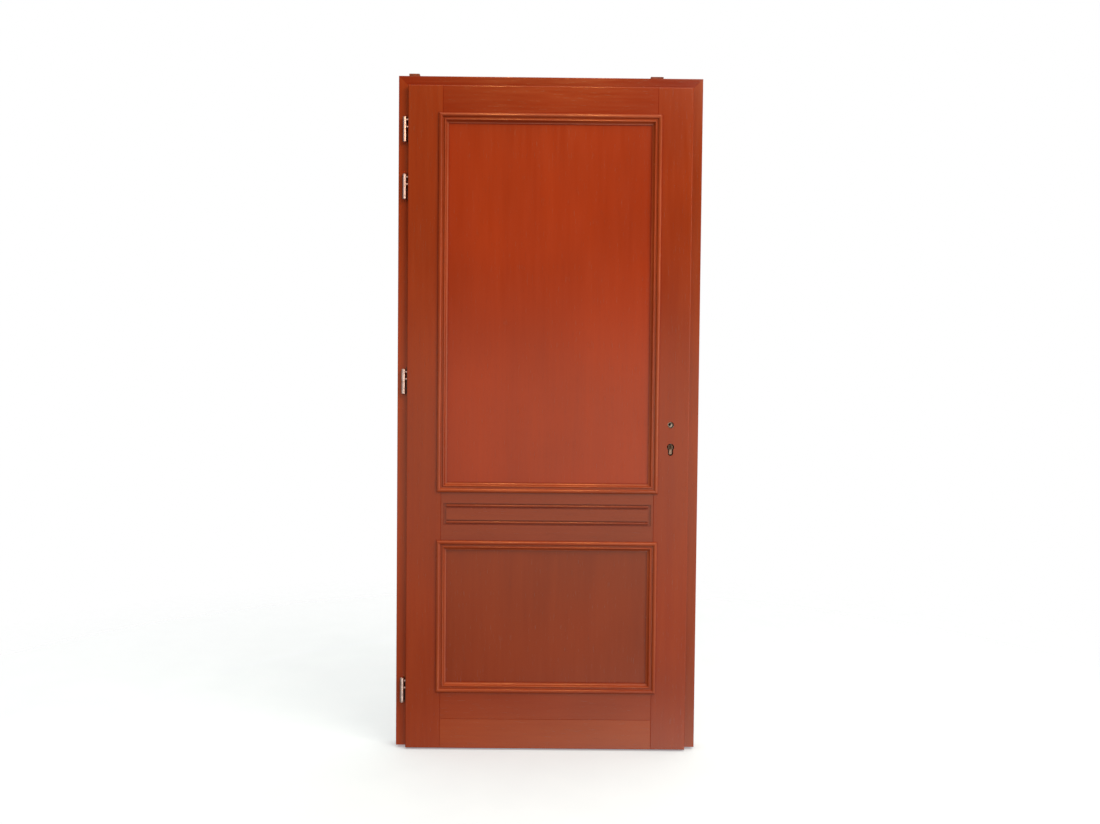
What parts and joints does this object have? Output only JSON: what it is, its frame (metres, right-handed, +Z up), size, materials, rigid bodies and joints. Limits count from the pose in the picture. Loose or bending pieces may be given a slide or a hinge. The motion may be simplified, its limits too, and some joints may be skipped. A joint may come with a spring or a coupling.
{
  "type": "front door",
  "caption": "Panelled timber front door in its frame, with mitred mouldings, drill-in hinges, a mortise lock and a profile cylinder.",
  "frame": {"origin": "middle of the threshold's underside, at mid-depth of the frame", "axes": "+Z up, +X towards the lock side, -Y out of the face with the hinge knuckles"},
  "size_m": [0.98, 0.0995, 2.196],
  "materials": {
    "painted_wood": "satin",
    "bare_wood": "matte",
    "seal_rubber": "matte",
    "hinge_nickel": "satin",
    "lock_steel": "satin",
    "cylinder_nickel": "satin",
    "bronze": "satin"
  },
  "bodies": {
    "frame": {"frame_hinge_jamb": "painted_wood", "frame_lock_jamb": "painted_wood", "frame_head": "painted_wood", "stop_hinge_side": "painted_wood", "stop_lock_side": "painted_wood", "stop_head": "painted_wood", "threshold": "painted_wood", "frame_seal": "seal_rubber", "head_packers": "bare_wood", "strike_plate": "hinge_nickel", "strike_screws": "hinge_nickel", "hinge_pins": "hinge_nickel", "hinge_washers": "bronze", "hinge_1_frame_knuckle": "hinge_nickel", "hinge_2_frame_knuckle": "hinge_nickel", "hinge_3_frame_knuckle": "hinge_nickel", "hinge_4_frame_knuckle": "hinge_nickel"},
    "leaf": {"hinge_stile": "painted_wood", "lock_stile": "painted_wood", "top_rail": "painted_wood", "middle_rail": "painted_wood", "bottom_rail": "painted_wood", "bottom_rail_board": "painted_wood", "upper_panel": "painted_wood", "lower_panel": "painted_wood", "upper_front_moulding_top": "painted_wood", "upper_front_moulding_lock_side": "painted_wood", "upper_front_moulding_bottom": "painted_wood", "upper_front_moulding_hinge_side": "painted_wood", "upper_back_moulding_top": "painted_wood", "upper_back_moulding_lock_side": "painted_wood", "upper_back_moulding_bottom": "painted_wood", "upper_back_moulding_hinge_side": "painted_wood", "lower_front_moulding_top": "painted_wood", "lower_front_moulding_lock_side": "painted_wood", "lower_front_moulding_bottom": "painted_wood", "lower_front_moulding_hinge_side": "painted_wood", "lower_back_moulding_top": "painted_wood", "lower_back_moulding_lock_side": "painted_wood", "lower_back_moulding_bottom": "painted_wood", "lower_back_moulding_hinge_side": "painted_wood", "hinge_1_leaf_knuckle": "hinge_nickel", "hinge_2_leaf_knuckle": "hinge_nickel", "hinge_3_leaf_knuckle": "hinge_nickel", "hinge_4_leaf_knuckle": "hinge_nickel", "lock_case": "lock_steel", "lock_cover": "lock_steel", "lock_forend": "hinge_nickel", "forend_screws": "hinge_nickel", "cylinder_body": "cylinder_nickel", "cylinder_rear_plug": "cylinder_nickel", "cylinder_screw": "lock_steel"},
    "follower": {"spindle_follower": "lock_steel"},
    "latch": {"latch_bolt": "lock_steel"},
    "bolt": {"dead_bolt": "lock_steel"},
    "key_plug": {"cylinder_plug": "cylinder_nickel", "cylinder_cam": "lock_steel"}
  },
  "joints": [
    {"name": "leaf_swing", "type": "hinge", "parent": "frame", "child": "leaf", "pos_m": [-0.4695, -0.046, 1.05], "axis": [0, 0, -1], "range_deg": [0, 170]},
    {"name": "follower_turn", "type": "hinge", "parent": "leaf", "child": "follower", "pos_m": [0.398, -0.017, 1.069], "axis": [0, 1, 0], "range_deg": [0, 38]},
    {"name": "latch_slide", "type": "slide", "parent": "leaf", "child": "latch", "axis": [1, 0, 0], "range_m": [0, 0.012]},
    {"name": "key_turn", "type": "hinge", "parent": "leaf", "child": "key_plug", "pos_m": [0.398, -0.017, 0.997], "axis": [0, 1, 0], "range_deg": [0, 360]},
    {"name": "dead_bolt_slide", "type": "slide", "parent": "leaf", "child": "bolt", "axis": [1, 0, 0], "range_m": [0, 0.02]}
  ],
  "couplings": [
    {"joint": "follower_turn", "follows": "latch_slide", "rad_per_m": 55.26},
    {"joint": "key_turn", "follows": "dead_bolt_slide", "rad_per_m": 314.15}
  ]
}
